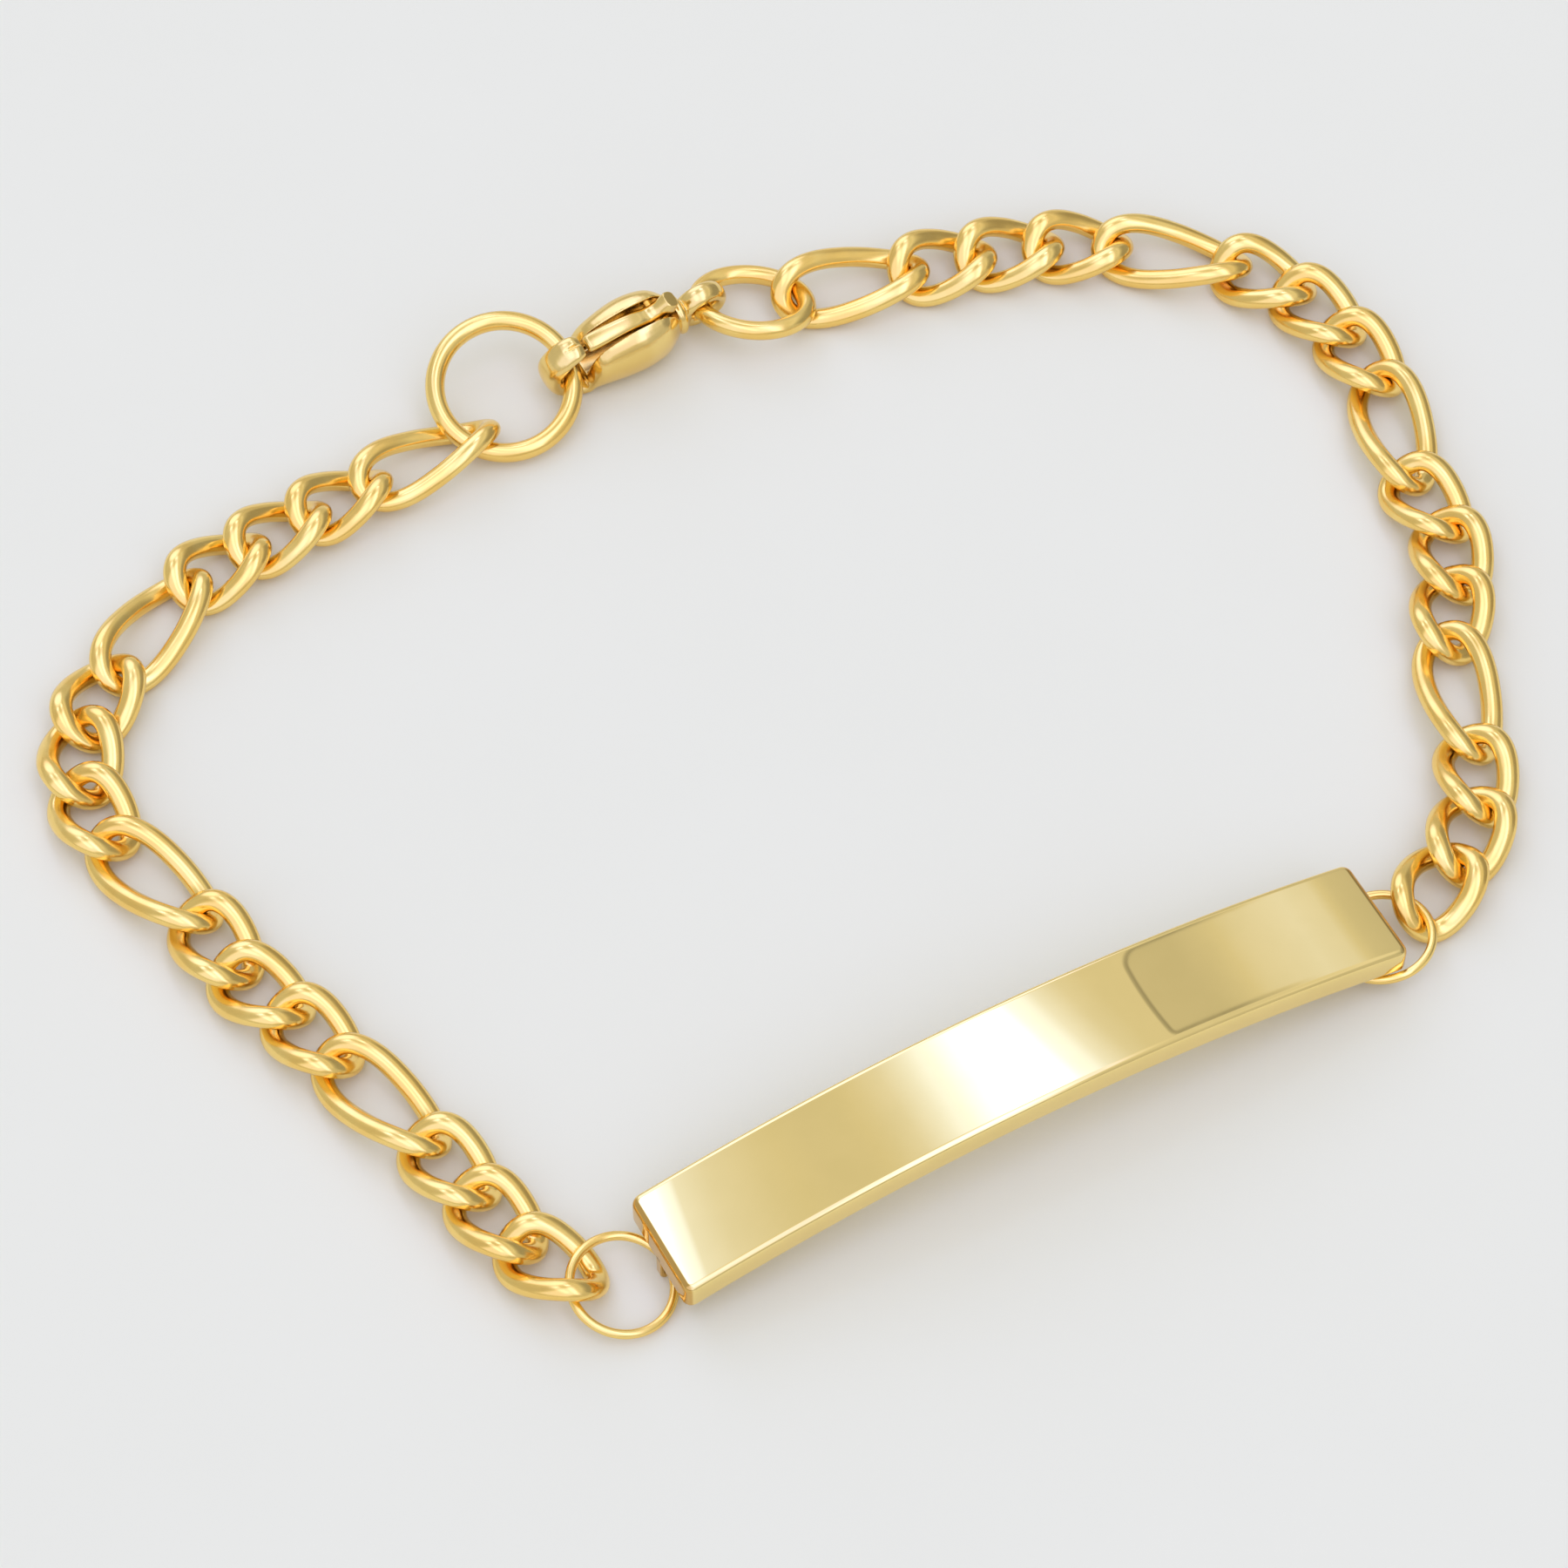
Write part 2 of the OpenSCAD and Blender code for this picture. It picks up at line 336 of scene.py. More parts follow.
def wire_tree():
    """Geometry Nodes: a closed round wire on each point, turned by the point's attribute."""
    group = bpy.data.node_groups.new("closed_wires", "GeometryNodeTree")
    face = group.interface
    face.new_socket("Geometry", in_out="INPUT", socket_type="NodeSocketGeometry")
    for name, (kind, value) in wire_inputs.items():
        socket = face.new_socket(name, in_out="INPUT", socket_type=kind)
        if value is not None:
            socket.default_value = value
    face.new_socket("Geometry", in_out="OUTPUT", socket_type="NodeSocketGeometry")
    t = Tree(group)
    points = t.node("NodeGroupInput")
    size = {name: t.also(points, name) for name in wire_inputs}
    circle = t.node("GeometryNodeCurvePrimitiveCircle", {"mode": "RADIUS"},
                    {"Resolution": size["Stations"]})
    path = t.node("GeometryNodeSetPosition", {},
                  {"Geometry": circle, "Position": wire_path(t, size)})
    level = t.node("GeometryNodeSetCurveNormal", {"mode": "Z_UP"}, {"Curve": path})
    section = t.node("GeometryNodeCurvePrimitiveCircle", {"mode": "RADIUS"},
                     {"Resolution": size["Sides"], "Radius": size["Wire Radius"]})
    stretch = t.node("ShaderNodeCombineXYZ", {}, {0: size["Broadness"], 1: 1.0, 2: 1.0})
    broad = t.node("GeometryNodeTransform", {}, {"Geometry": section, "Scale": stretch})
    wire = t.node("GeometryNodeCurveToMesh", {}, {"Curve": level, "Profile Curve": broad})
    turn = t.node("GeometryNodeInputNamedAttribute", {"data_type": "FLOAT_VECTOR"},
                  {"Name": "turn"})
    turned = t.node("FunctionNodeEulerToRotation", {}, {0: turn})
    copies = t.node("GeometryNodeInstanceOnPoints", {},
                    {"Points": points, "Instance": wire, "Rotation": turned})
    real = t.node("GeometryNodeRealizeInstances", {}, {"Geometry": copies})
    smooth = t.node("GeometryNodeSetShadeSmooth", {}, {"Geometry": real})
    dressed = t.node("GeometryNodeSetMaterial", {},
                     {"Geometry": smooth, "Material": size["Material"]})
    t.node("NodeGroupOutput", {}, {0: dressed})
    return group


closed_wires = wire_tree()
print("wire tree:", len(closed_wires.nodes), "nodes")

# %% [markdown]
# Three helpers finish every piece. One makes an object of a mesh. The third says which
# CAD nodes the piece stands for and which body it rides on.

# %% Helpers for every piece


def mesh_object(name, mesh):
    made = bpy.data.objects.new(name, mesh)
    scene.collection.objects.link(made)
    return made


def evaluated(source, name):
    """A new object with the plain mesh that source's modifiers give. source is removed."""
    bpy.context.view_layer.update()
    depsgraph = bpy.context.evaluated_depsgraph_get()
    mesh = bpy.data.meshes.new_from_object(source.evaluated_get(depsgraph), depsgraph=depsgraph)
    mesh.name = name
    bpy.data.objects.remove(source)
    return mesh_object(name, mesh)


def finish_piece(piece, nodes, body="root"):
    """Lets a piece stand for CAD nodes, on a body, and prints its size."""
    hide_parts(*nodes)
    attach(piece, body)
    size = [round(v / MM, 2) for v in piece.dimensions]
    print(piece.name, "replaces", len(nodes), "node(s), size in mm", size,
          "faces", len(piece.data.polygons))


# %% [markdown]
# The next helper runs the wire tree. The modifier's inputs are set by their identifiers
# before the object is first looked at, because a later change wouldn't be seen.

# %% Run the wire tree


def wires(name, nodes, half_length, half_width, wire, rise=0.0, fullness=2.0, stations=96,
          broadness=1.0):
    """One piece with a closed wire at each of the CAD nodes. Lengths are in mm."""
    places = [wire_place(n) for n in nodes]
    holder = bpy.data.meshes.new(name + "_places")
    holder.from_pydata([middle for middle, turn, half in places], [], [])
    turns = holder.attributes.new("turn", "FLOAT_VECTOR", "POINT")
    for k, (middle, turn, half) in enumerate(places):
        turns.data[k].vector = turn
    source = mesh_object(name + "_source", holder)
    modifier = source.modifiers.new("wires", "NODES")
    modifier.node_group = closed_wires
    sizes = {"Half Length": half_length * MM, "Half Width": half_width * MM, "Rise": rise * MM,
             "Fullness": fullness, "Wire Radius": wire / 2 * MM, "Broadness": broadness,
             "Stations": stations, "Material": chain_gold}
    for item in closed_wires.interface.items_tree:
        if item.item_type == "SOCKET" and item.in_out == "INPUT" and item.name in sizes:
            modifier[item.identifier] = sizes[item.name]
    finish_piece(evaluated(source, name), nodes)


# %% [markdown]
# ## The chain and the rings
# Three short links follow each long one. The thin rings at the plate are finer wire than
# the rest, and the ring in the clasp's eye is a little oval. Links could be placed one by
# one, but all of a kind are one piece here, since they share a body and a finish.

# %% Make the chain and the rings
pressed_link = {"rise": 0.64, "fullness": 2.1}
wires("chain_short_links", short_links, 2.35, 1.58, 0.92, stations=72, broadness=1.26,
      **pressed_link)
wires("chain_long_links", long_links, 3.70, 1.58, 0.92, stations=88, broadness=1.2,
      **pressed_link)
wires("thin_ring_left", ["ring_left"], 2.47, 2.47, 0.46)
wires("thin_ring_right", ["ring_right"], 2.47, 2.47, 0.46)
wires("big_clasp_ring", ["ring_clasp_end"], 3.60, 3.53, 1.0, stations=112)
wires("oval_clasp_ring", ["ring_clasp"], 2.85, 2.34, 0.98)

# %% [markdown]
# ## Skins from loops
# The plate and the clasp are skins over loops of points. Edge loops could be bridged in
# Edit Mode, but then each new size would mean the same handwork again. These two helpers
# lay the faces between the loops and make a mesh whose faces point outwards.

# %% Skin helpers


def join_loops(bm, loops, closed=False):
    """Lays a band of faces between each loop of points and the next."""
    following = loops[1:] + (loops[:1] if closed else [])
    for low, high in zip(loops, following):
        for k in range(len(low)):
            m = (k + 1) % len(low)
            bm.faces.new((low[k], low[m], high[m], high[k]))


def skin_mesh(bm, name):
    """A mesh of a finished skin, with its faces turned outwards."""
    bmesh.ops.recalc_face_normals(bm, faces=bm.faces)
    mesh = bpy.data.meshes.new(name)
    bm.to_mesh(mesh)
    return mesh


# %% [markdown]
# ## The name plate
# The plate is a bar of sheet metal, bent to the wrist. It mirrors the room like a
# curved mirror, so its faces must be even. A bevelled box with a bend modifier would do,
# but its faces wouldn't follow one circle exactly. Here the bar is one closed skin: an
# outline with round corners is stacked from the top face down the rounded edge and the
# side, and every level is then bent onto the same circle.

# %% Outline and bend of the plate
plate_turn = Matrix.Rotation(plate_heading, 3, "Z")
plate_size = Vector((39, 5.8, 1.6)) * MM
plate_arch = 2.25 * MM
plate_radius = ((plate_size.x / 2) ** 2 + plate_arch**2) / (2 * plate_arch)
print("plate bent to a radius of", round(plate_radius / MM, 1), "mm")


def plate_side(inset, corner=0.5 * MM, corner_steps=8, side_steps=120):
    """Half outline: places along the plate and the half width there."""
    end = plate_size.x / 2 - inset
    half = plate_size.y / 2 - inset
    bend = max(corner - inset, 0.05 * MM)
    turn = [(1 - k / corner_steps) * math.pi / 2 for k in range(corner_steps + 1)]
    tip = [(end - bend * (1 - math.cos(a)), half - bend * (1 - math.sin(a))) for a in turn]
    straight = end - bend
    middle = [(straight * (2 * k / side_steps - 1), half) for k in range(1, side_steps)]
    return [(-x, y) for x, y in reversed(tip)] + middle + tip


def bent(x, y, depth):
    """A point of the straight bar, moved onto the plate's circle."""
    radius = plate_radius - depth
    height = math.sqrt(radius**2 - x**2) - plate_radius
    return plate_middle + plate_turn @ Vector((x, y, height))


# %% Skin of the plate


def plate_levels(edge=0.32 * MM, steps=8):
    """Inset and depth of each level, from the top face to the bottom face."""
    bend = [k / steps * math.pi / 2 for k in range(steps + 1)]
    upper = [(edge + 0.03 * MM, 0.0), (edge + 0.01 * MM, 0.0)]
    upper += [(edge * (1 - math.sin(a)), edge * (1 - math.cos(a))) for a in bend]
    return upper + [(inset, plate_size.z - depth) for inset, depth in reversed(upper)]


def add_bar(bm):
    """The bar: a band of faces down its side, and strips over its two broad faces."""
    loops = []
    for inset, depth in plate_levels():
        side = plate_side(inset)
        near = [bm.verts.new(bent(x, -y, depth)) for x, y in side]
        far = [bm.verts.new(bent(x, y, depth)) for x, y in side]
        loops.append(near + far[::-1])
    join_loops(bm, loops)
    for loop in (loops[0], loops[-1]):
        count = len(loop) // 2
        near, far = loop[:count], loop[:count - 1:-1]
        for k in range(count - 1):
            bm.faces.new((near[k], near[k + 1], far[k + 1], far[k]))


# %% [markdown]
# Under each end sits a loop for the ring: a thin strap, bent in a U and soldered on. It
# could be three thin boxes, but faces that overlap in one plane shade badly. Here a small
# section is carried along a U-shaped path, so that the bends are round.

# %% Loops under the plate


def strap_path(thick, bend):
    """Places along the strap's middle, each with the way to the loop's inside."""
    outer = plate_size.x / 2 - thick / 2
    inner = outer - 3.26 * MM
    floor = -plate_arch - plate_size.z - 1.22 * MM + thick / 2
    path = [(inner, floor + 1.9 * MM, 1.0, 0.0)]
    for x, first in ((inner + bend, math.pi), (outer - bend, 1.5 * math.pi)):
        for k in range(7):
            c, s = math.cos(first + k * math.pi / 12), math.sin(first + k * math.pi / 12)
            path.append((x + bend * c, floor + bend + bend * s, -c, -s))
    return path + [(outer, floor + 1.5 * MM, -1.0, 0.0)]


def add_strap(bm, end, thick=0.24 * MM, wide=0.45 * MM, soft=0.05 * MM):
    """The strap under one end of the plate, which is -1 or 1."""
    t, h = thick / 2, wide / 2
    section = [(-t, -h + soft), (-t, h - soft), (-t + soft, h), (t - soft, h),
               (t, h - soft), (t, -h + soft), (t - soft, -h), (-t + soft, -h)]
    loops = []
    for x, z, in_x, in_z in strap_path(thick, thick):
        points = [Vector((end * (x + u * in_x), v, z + u * in_z)) for u, v in section]
        loops.append([bm.verts.new(plate_middle + plate_turn @ p) for p in points])
    join_loops(bm, loops)
    bm.faces.new(loops[0])
    bm.faces.new(loops[-1])


# %% Make the plate
plate_bm = bmesh.new()
add_bar(plate_bm)
for end in (-1, 1):
    add_strap(plate_bm, end)
plate_mesh = skin_mesh(plate_bm, "name_plate")
plate_mesh.shade_smooth()
plate_mesh.set_sharp_from_angle(angle=math.radians(25))
plate_mesh.materials.append(plate_gold)
finish_piece(mesh_object("name_plate", plate_mesh), ["plate"])

# %% [markdown]
# ## The lobster clasp
# The clasp is a small casting, so its edges are soft. It is lofted through oval sections
# from the hook's tip to the neck, and a smooth curve through their sizes gives the
# sections between. The slot and the throat are cut, the collar and the eye are added, and
# a voxel remesh joins them into one skin, which a light smoothing rounds as a cast is.
# Subdivision would need a hand-drawn cage for every joint between the parts, and a
# remesh needs none. The CAD model's hinge says where the clasp lies: the rivet is the
# hinge's line.

# %% Place of the clasp
hinge = frame["joints"][0]
rivet_along, rivet_up = 6.6, 2.85
hinge_axis = Vector(hinge["axis"])
clasp_lean = math.asin(-hinge_axis.z)
clasp_heading = math.atan2(hinge_axis.x, -hinge_axis.y)
clasp_turn = Matrix.Rotation(clasp_heading, 3, "Z") @ Matrix.Rotation(clasp_lean, 3, "X")
clasp_origin = Vector(hinge["pos_m"]) - clasp_turn @ (Vector((rivet_along, 0, rivet_up)) * MM)
clasp_place = Matrix.Translation(clasp_origin) @ clasp_turn.to_4x4() @ Matrix.Scale(MM, 4)
print("clasp heading", round(math.degrees(clasp_heading), 1),
      "lean", round(math.degrees(clasp_lean), 1))

# %% [markdown]
# Each section of the clasp is a row in millimetres, in the clasp's own frame: its place
# along and up, the heading of the path there in degrees, and its half height and half
# width.

# %% Sections of the claw and the lever
claw_sections = [
    (2.15, 3.50, 184, 0.26, 0.58), (1.75, 3.52, 190, 0.38, 0.72), (1.10, 3.24, 222, 0.42, 0.78),
    (0.58, 2.54, 252, 0.42, 0.82), (0.46, 1.75, 272, 0.42, 0.86), (0.76, 0.94, 306, 0.42, 0.94),
    (1.50, 0.48, 345, 0.42, 1.10), (2.05, 0.46, 360, 0.44, 1.28), (2.35, 0.66, 360, 0.62, 1.38),
    (2.58, 1.22, 360, 1.16, 1.46), (3.10, 1.62, 360, 1.55, 1.62), (4.50, 1.88, 360, 1.82, 1.86),
    (5.60, 1.96, 360, 1.90, 1.90), (6.70, 1.94, 360, 1.84, 1.70), (7.40, 1.80, 360, 1.46, 1.30),
    (7.90, 1.64, 360, 0.92, 0.92), (8.75, 1.50, 360, 0.40, 0.50)]
lever_sections = [
    (2.45, 3.32, 0, 0.20, 0.72), (2.70, 3.32, 0, 0.31, 0.94), (3.60, 3.34, 0, 0.37, 1.00),
    (4.80, 3.34, 0, 0.40, 1.00), (5.50, 3.18, 0, 0.50, 1.00), (6.10, 2.96, 0, 0.60, 1.00),
    (6.70, 2.98, 8, 0.74, 1.00), (7.15, 3.32, 35, 0.66, 1.02), (7.42, 4.00, 65, 0.36, 0.95)]
print("sections:", len(claw_sections), "for the claw and", len(lever_sections), "for the lever")


def between_sections(sections, steps):
    """Sections on a smooth curve through the given ones."""
    s = np.array(sections, float)
    padded = np.vstack([2 * s[0] - s[1], s, 2 * s[-1] - s[-2]])
    out = []
    for k in range(1, len(padded) - 2):
        a, b, c, d = padded[k - 1:k + 3]
        for j in range(steps):
            u = j / steps
            out.append(0.5 * (2 * b + (c - a) * u + (2 * a - 5 * b + 4 * c - d) * u**2
                              + (3 * b - a - 3 * c + d) * u**3))
    return out + [s[-1]]


# %% [markdown]
# A few closed shapes are all that the clasp needs: a loft for the claw and the lever, a
# bar for the hole, blocks for the slots, and hoops for the collar and the eye. Blender
# has primitives for some of them, but these start out with their place in their points.

# %% Shapes of the clasp


def skin_object(bm, name):
    """An object of a finished skin."""
    return mesh_object(name, skin_mesh(bm, name))


def loft(sections, fullness, width=1.0, steps=4, count=40):
    """A closed skin through oval sections."""
    bm = bmesh.new()
    loops = []
    for along, up, path, tall, wide in between_sections(sections, steps):
        turn = math.radians(path)
        loop = []
        for k in range(count):
            a = 2 * math.pi * k / count
            c, s = math.cos(a), math.sin(a)
            p = tall * math.copysign(abs(c) ** (2 / fullness), c)
            q = wide * width * math.copysign(abs(s) ** (2 / fullness), s)
            loop.append(bm.verts.new((along - p * math.sin(turn), q, up + p * math.cos(turn))))
        loops.append(loop)
    join_loops(bm, loops)
    for loop in (loops[0], loops[-1]):
        bm.faces.new(loop)
    return skin_object(bm, "loft")


def bar(radius, length, along, up, segments=40):
    """A round bar across the clasp."""
    bm = bmesh.new()
    bmesh.ops.create_cone(bm, cap_ends=True, segments=segments, radius1=radius,
                          radius2=radius, depth=length)
    turn = Matrix.Translation((along, 0, up)) @ Matrix.Rotation(math.pi / 2, 4, "X")
    bmesh.ops.transform(bm, matrix=turn, verts=bm.verts)
    return skin_object(bm, "bar")


def block(low, high):
    """A block between two corners."""
    bm = bmesh.new()
    for v in bmesh.ops.create_cube(bm, size=1.0)["verts"]:
        v.co = Vector([low[i] + (v.co[i] + 0.5) * (high[i] - low[i]) for i in range(3)])
    return skin_object(bm, "block")


def hoop(radius, wire, middle, axis, broad=1.0, count=64, sides_round=20):
    """A round hoop about an axis, along which its wire may be broad."""
    bm = bmesh.new()
    loops = []
    for k in range(count):
        c, s = math.cos(2 * math.pi * k / count), math.sin(2 * math.pi * k / count)
        loop = []
        for j in range(sides_round):
            b = 2 * math.pi * j / sides_round
            r = radius + wire / 2 * math.cos(b)
            h = wire / 2 * broad * math.sin(b)
            p = (r * c, h, r * s) if axis == "Y" else (h, r * c, r * s)
            loop.append(bm.verts.new(Vector(p) + Vector(middle)))
        loops.append(loop)
    join_loops(bm, loops, closed=True)
    return skin_object(bm, "hoop")


# %% [markdown]
# The openings are cut while the shapes are still sharp, which the exact solver does
# best. The remesh then joins what overlaps, and the smoothing softens all edges alike.
# A remesh can leave a tiny loose cube where two shapes nearly meet. Such specks can't be
# seen, but they would be stray faces in the mesh, so they are deleted.

# %% Cut and cast


def cut(target, tools):
    """Cuts closed tools from a closed target."""
    for tool in tools:
        modifier = target.modifiers.new("cut", "BOOLEAN")
        modifier.operation = "DIFFERENCE"
        modifier.solver = "EXACT"
        modifier.object = tool
    made = evaluated(target, "cut")
    for tool in tools:
        bpy.data.objects.remove(tool)
    return made


def islands(bm):
    """The loose parts of a mesh, each as a list of its vertices."""
    left, found = set(bm.verts), []
    while left:
        island, front = [], [left.pop()]
        while front:
            v = front.pop()
            island.append(v)
            near = {e.other_vert(v) for e in v.link_edges} & left
            left -= near
            front += near
        found.append(island)
    return found


def drop_specks(mesh, fewest=100):
    """Deletes loose parts of fewer vertices than the fewest."""
    bm = bmesh.new()
    bm.from_mesh(mesh)
    specks = [v for island in islands(bm) if len(island) < fewest for v in island]
    bmesh.ops.delete(bm, geom=specks, context="VERTS")
    bm.to_mesh(mesh)
    print("vertices in specks:", len(specks))


def cast(parts, name, voxel, rounds):
    """Joins closed parts into one soft-edged skin and puts it in its place."""
    bm = bmesh.new()
    for part in parts:
        bm.from_mesh(part.data)
        bpy.data.objects.remove(part)
    mesh = bpy.data.meshes.new(name)
    bm.to_mesh(mesh)
    source = mesh_object(name + "_source", mesh)
    remesh = source.modifiers.new("skin", "REMESH")
    remesh.mode = "VOXEL"
    remesh.voxel_size = voxel
    smooth = source.modifiers.new("soften", "SMOOTH")
    smooth.factor = 0.5
    smooth.iterations = rounds
    piece = evaluated(source, name)
    drop_specks(piece.data)
    piece.data.transform(clasp_place)
    piece.data.shade_smooth()
    piece.data.materials.clear()
    piece.data.materials.append(clasp_gold)
    return piece


# %% [markdown]
# The body and the lever are two pieces, because the lever turns. Only the lever needs
# its hole, a little wider than the rivet, because the rivet's ends stay hidden in the
# body's cheeks.

# %% Make the body and the lever
slot_half = 0.66
slot = block((2.6, -slot_half, 1.2), (7.8, slot_half, 5.2))
throat = block((1.9, -slot_half, 1.2), (2.7, slot_half, 2.9))
hook_groove = block((0.2, -0.07, 3.74), (2.4, 0.09, 4.4))
claw = cut(loft(claw_sections, 2.4), [slot, throat, hook_groove])
collar = hoop(0.86, 0.48, (8.05, 0, 1.62), "X")
eye = hoop(1.11, 0.72, (9.5, 0, 1.5), "Y", broad=1.6)
clasp_body = cast([claw, collar, eye], "lobster_clasp_body", voxel=0.052, rounds=8)
finish_piece(clasp_body, ["clasp_body"])

rivet_hole = bar(0.36, 4, rivet_along, rivet_up)
lever = cut(loft(lever_sections, 2.8, width=0.49, steps=5), [rivet_hole])
clasp_lever = cast([lever], "lobster_clasp_lever", voxel=0.045, rounds=5)
finish_piece(clasp_lever, ["clasp_lever"], body="lever")

# %% [markdown]
# ## The rivet
# The lever turns on a small pin with domed ends. It could be a cylinder with bevelled
# rims. Turned from a profile, it gets its domes in the same few lines.

# %% Make the rivet


def rivet(profile, segments=32):
    """A pin across the clasp, turned from a profile of rows of place and radius."""
    bm = bmesh.new()
    turn = [2 * math.pi * k / segments for k in range(segments)]
    loops = [[bm.verts.new((rivet_along + radius * math.cos(a), y, rivet_up + radius * math.sin(a)))
              for a in turn] for y, radius in profile]
    join_loops(bm, loops)
    bm.faces.new(loops[0])
    bm.faces.new(loops[-1])
    mesh = skin_mesh(bm, "lobster_clasp_rivet")
    mesh.transform(clasp_place)
    mesh.shade_smooth()
    mesh.materials.append(clasp_gold)
    return mesh_object("lobster_clasp_rivet", mesh)


dome = [(1.20, 0.29), (1.34, 0.27), (1.40, 0.20), (1.43, 0.10)]
clasp_rivet = rivet([(-y, r) for y, r in reversed(dome)] + dome)
finish_piece(clasp_rivet, ["clasp_pin"])

# %% [markdown]
# ## The light
# The photograph was taken in a bright tent: white overhead, darker towards the sides. A
# polished plate shows that room, so the light is drawn as a sky by direction. Lamps as
# objects could do this too, but a polished plate would mirror their edges, and a sky
# shows just what is drawn in it. Three measures say where a direction points: along the
# plate, across it, and up. The angle is the lean from overhead towards the plate's right
# end, in degrees.

# %% Directions in the room
world = bpy.data.worlds.new("studio")
scene.world = world
sky = new_tree(world)
direction = sky.node("ShaderNodeTexCoord", out="Generated")
along = sky.part_along(direction, (math.cos(plate_heading), math.sin(plate_heading), 0.0))
across = sky.part_along(direction, (-math.sin(plate_heading), math.cos(plate_heading), 0.0))
height = sky.part_along(direction, (0.0, 0.0, 1.0))
angle = along.math("ARCTAN2", height) * (180 / math.pi)
print("plate heading", round(math.degrees(plate_heading), 1), "degrees")

# %% [markdown]
# The camera sees a narrow strip of sky in the plate's top face, and its middle bends a
# little with the angle. `beside` runs over the strip from -1 at the plate's near edge to
# 1 at its far edge. Along the strip, the sky has a bright lamp that makes the white band
# and another at the plate's left end, and both are slanted.

# %% Sky over the plate
strip_middle, strip_half = 0.44248, 0.0085
seen_middle = strip_middle - angle * 0.000127 - angle * angle * 0.0000042
beside = ((across - seen_middle) / strip_half).at_least(-1.0).at_most(1.0)
slant = angle.between(14, 19) * 1.1 - angle.between(25, 28) * 1.1 - (1 - angle.between(-8, 2)) * 0.8
slanted = angle + beside * slant

brightest = 3.4
first_angle, last_angle = -30, 60
sky_steps = [
    (-30, 0.6), (-22, 1.4), (-12, 2.2), (-10.8, 1.35), (-9.6, 0.92), (-7, 0.82), (-3, 0.75),
    (1, 0.70), (4, 0.71), (6, 0.75), (8, 0.82), (10, 0.96), (12, 1.13), (14, 1.6), (15.5, 3.0),
    (18, 3.0), (19, 1.8), (20, 1.25), (22, 0.94), (24, 0.79), (26, 0.74), (32, 0.72),
    (35, 0.74), (38, 0.79), (42, 0.85), (44.5, 0.81), (46.2, 0.66), (52, 0.50), (60, 0.35)]
span = last_angle - first_angle
overhead_stops = [((a - first_angle) / span, v / brightest) for a, v in sky_steps]
overhead = sky.node("ShaderNodeValToRGB", {"stops": overhead_stops},
                    {0: (slanted - first_angle) / span}) * brightest
print("sky over the plate:", len(sky_steps), "steps of light")

# %% [markdown]
# On the right, the plate mirrors a panel with a thin dark rim. It could be a card that
# hangs in the room, but its image would be hard to aim. Here the panel is a box with
# rounded corners in the strip, with its sizes in millimetres as seen on the plate. The
# distance from its rim gives both the dark line and the shade inside. The corner at the
# plate's near edge is sharper, and the start bows a little.

# %% Panel that the plate mirrors
panel_start, degrees_per_mm, strip_per_mm = 28.7, 1.57, 0.345
panel_reach, panel_half, panel_bow = 10, 2.52, 0.25
panel_x = (angle - panel_start) / degrees_per_mm + (1 - beside * beside) * panel_bow
panel_y = beside / strip_per_mm
corner = 0.9 - (1 - beside.between(-0.6, 0.0)) * 0.6
out_x = ((panel_x - panel_reach).size() - panel_reach + corner).at_least(0.0)
out_y = (panel_y.size() - panel_half + corner).at_least(0.0)
off_rim = (out_x * out_x + out_y * out_y).math("SQRT") - corner
rim = (1 - off_rim.size().between(0.04, 0.20)) * (1 - angle.between(33, 42)) * 0.42
inside = (1 - off_rim.between(-0.05, 0.05)) * (1 - angle.between(32, 38)) * 0.15
print("panel of", 2 * panel_reach, "by", 2 * panel_half, "mm on the plate")

# %% [markdown]
# The rest of the room is calmer. Away from the plate's strip the sky overhead has an
# upper limit, and towards the sides it gives way to a plain horizon. A key light from
# behind and a low light from the front draw the highlights on the chain and on the
# plate's near edge.

# %% Rest of the room
at_plate = 1 - (across - 0.44).size().between(0.04, 0.08)
overhead = (overhead * (1 - rim) * (1 - inside)).at_most(at_plate * 2.2 + 1.2)
horizon_stops = [(0.0, 0.75), (0.5, 0.62), (0.62, 0.57), (0.75, 0.64), (1.0, 0.85)]
horizon = sky.node("ShaderNodeValToRGB", {"stops": horizon_stops}, {0: height * 0.5 + 0.5})
near_zenith = 1 - across.size().between(0.50, 0.66)
key_way = tuple(Vector((-0.35, 0.75, 0.55)).normalized())
key = sky.part_along(direction, key_way).between(0.90, 0.975) * 0.9
low_front = across.between(-0.97, -0.80) * (1 - across.between(-0.05, 0.2))
front = low_front * (along.between(-0.02, 0.12) * 0.6 + 0.5) * (1 - along.between(0.22, 0.34))
front = front * height.between(0.1, 0.3)
light = horizon * (1 - near_zenith) + overhead * near_zenith + key + front

# %% [markdown]
# Bright light is a little cool, which keeps highlights on gold pale. A paler gold would
# whiten them too, but its shades would lose their colour. The lamp that makes the
# plate's white band is cooler still, because gold turns white only in blue light.

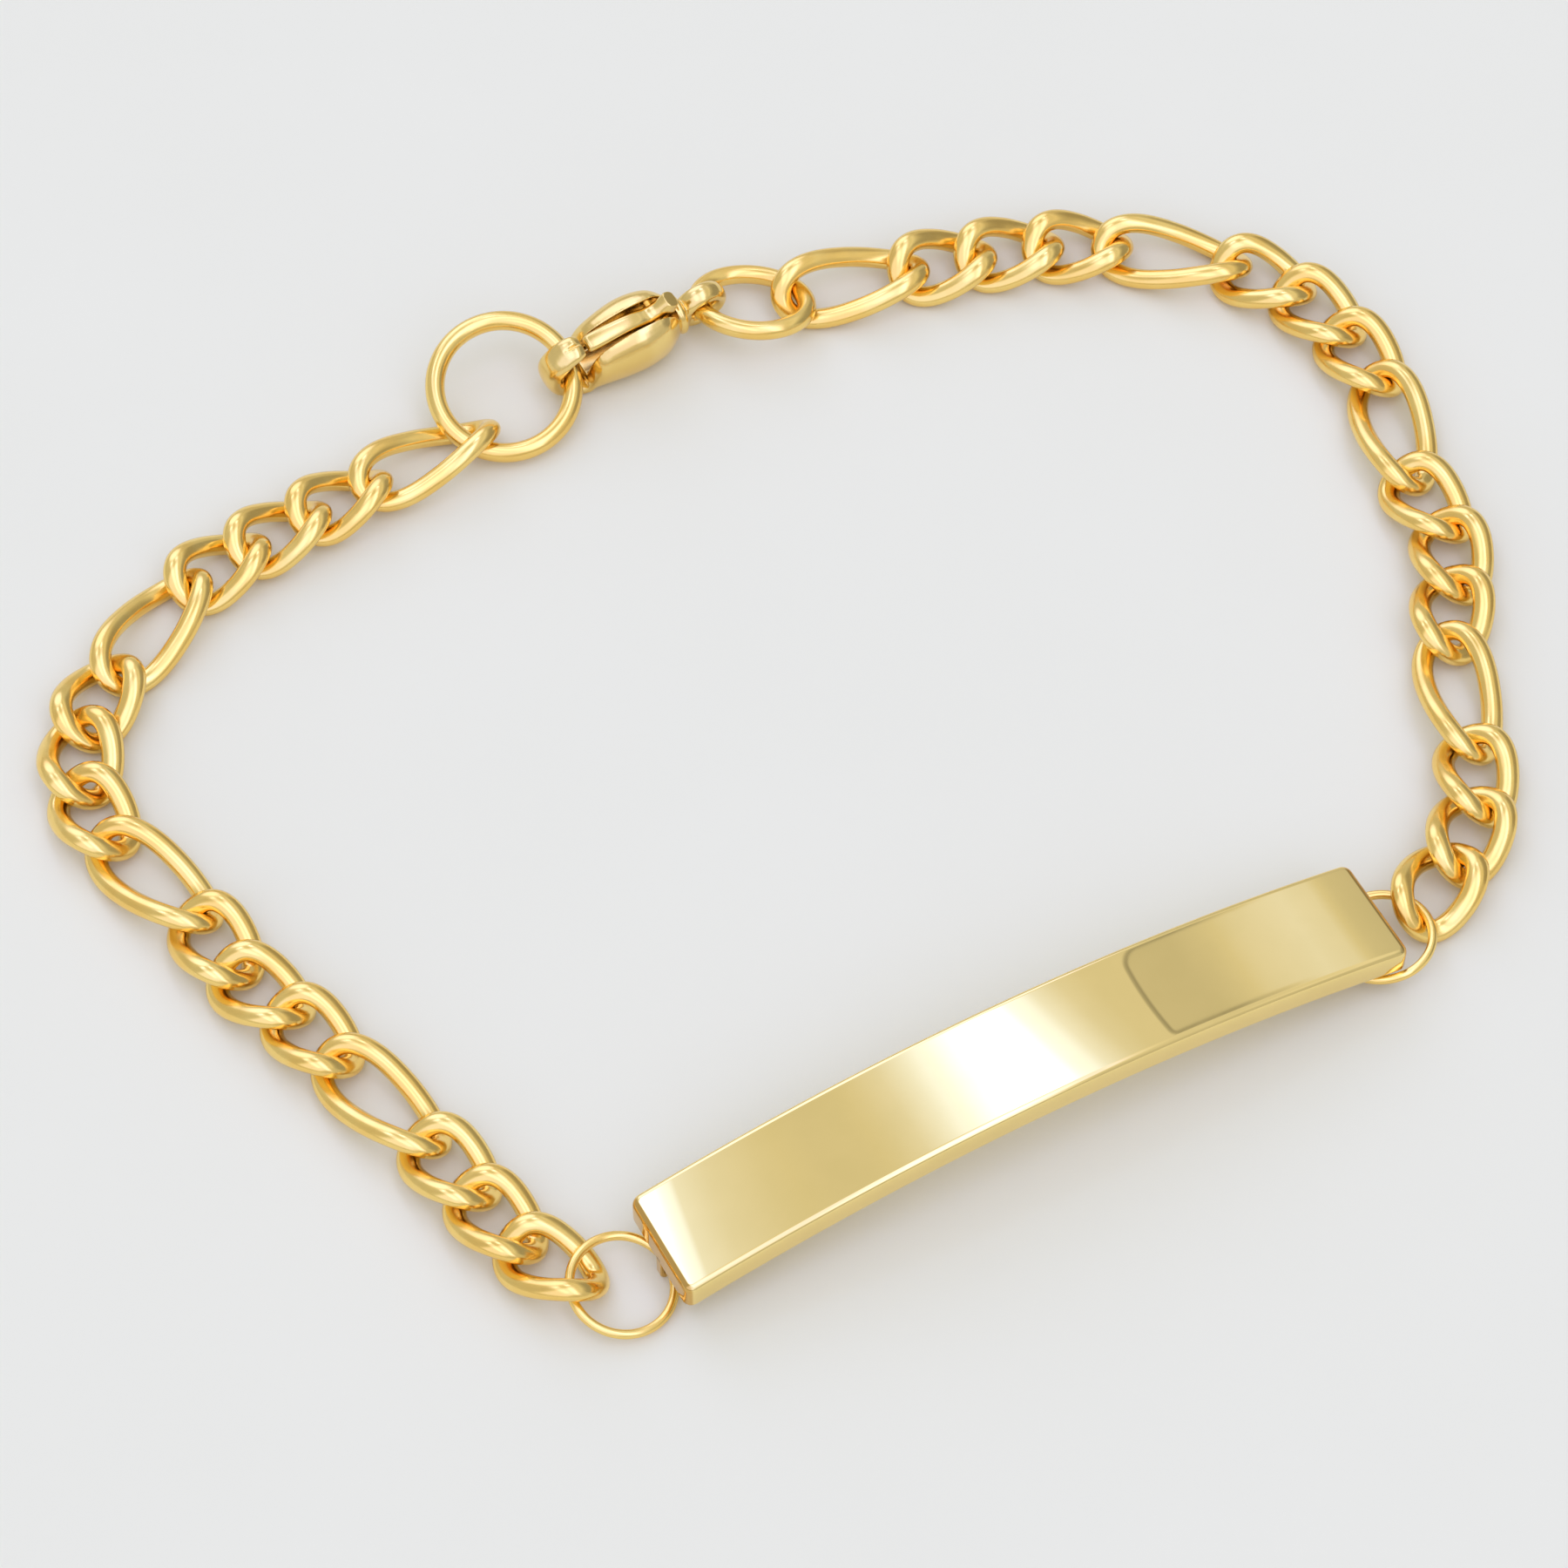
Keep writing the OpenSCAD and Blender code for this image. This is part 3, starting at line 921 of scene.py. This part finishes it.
# %% Tint the light
white, cool_white, lamp_white = (1.0, 1.0, 1.0), (0.92, 0.96, 1.5), (1.0, 1.2, 2.1)
tint = sky.mix(light.between(0.75, 1.25) * (1 - at_plate), white, cool_white)
lamp = ((overhead - 0.73) * 3).at_least(0.0).at_most(1.0) * at_plate
room = sky.node("ShaderNodeVectorMath", {"operation": "SCALE"},
                {0: sky.mix(lamp, tint, lamp_white), "Scale": light})
background = sky.node("ShaderNodeBackground", {}, {"Color": room, "Strength": 1.0})
sky.node("ShaderNodeOutputWorld", {}, {"Surface": background})
print("room:", len(world.node_tree.nodes), "nodes")

# %% [markdown]
# ## The table
# The bracelet lies on a sheet of pale paper. It could sweep up behind as a backdrop, but
# the camera looks down and sees no horizon, so one flat face is enough. Its own colour is
# warm enough to come out neutral in the cool light, and it has a faint mottle.

# %% Table
table_half = 0.6
square = ((-1, -1), (1, -1), (1, 1), (-1, 1))
table_corners = [(x * table_half, y * table_half, 0) for x, y in square]
table_mesh = bpy.data.meshes.new("table")
table_mesh.from_pydata(table_corners, [], [(0, 1, 2, 3)])
table = mesh_object("table", table_mesh)
paper = bpy.data.materials.new("pale_paper")
t = new_tree(paper)
mottle = t.noise(t.node("ShaderNodeTexCoord", out="Object"), 60.0, 4.0)
shader = t.node("ShaderNodeBsdfPrincipled", {}, {
    "Base Color": t.mix(mottle, (0.82, 0.80, 0.58), (0.84, 0.82, 0.60)),
    "Roughness": 0.9, "Specular IOR Level": 0.1})
t.node("ShaderNodeOutputMaterial", {}, {"Surface": shader})
table_mesh.materials.append(paper)
print("table of", 2 * table_half, "m")

# %% [markdown]
# ## The camera
# The camera stands where the photograph was taken from, about 290 mm away, and looks 56
# degrees down at the table. A longer lens from further away could frame the bracelet
# too, but then the far links would look as large as the near ones.

# %% Camera
camera_data = bpy.data.cameras.new("camera")
camera_data.sensor_width = 36.0
camera_data.lens = 136.3
camera_data.clip_start = 0.01
camera = bpy.data.objects.new("camera", camera_data)
scene.collection.objects.link(camera)
camera.location = Vector((0.31, -164.79, 241.52)) * MM
camera.rotation_euler = (math.radians(34), 0.0, 0.0)
scene.camera = camera
print("camera at", [round(v / MM) for v in camera.location], "mm, lens", round(camera_data.lens, 1))
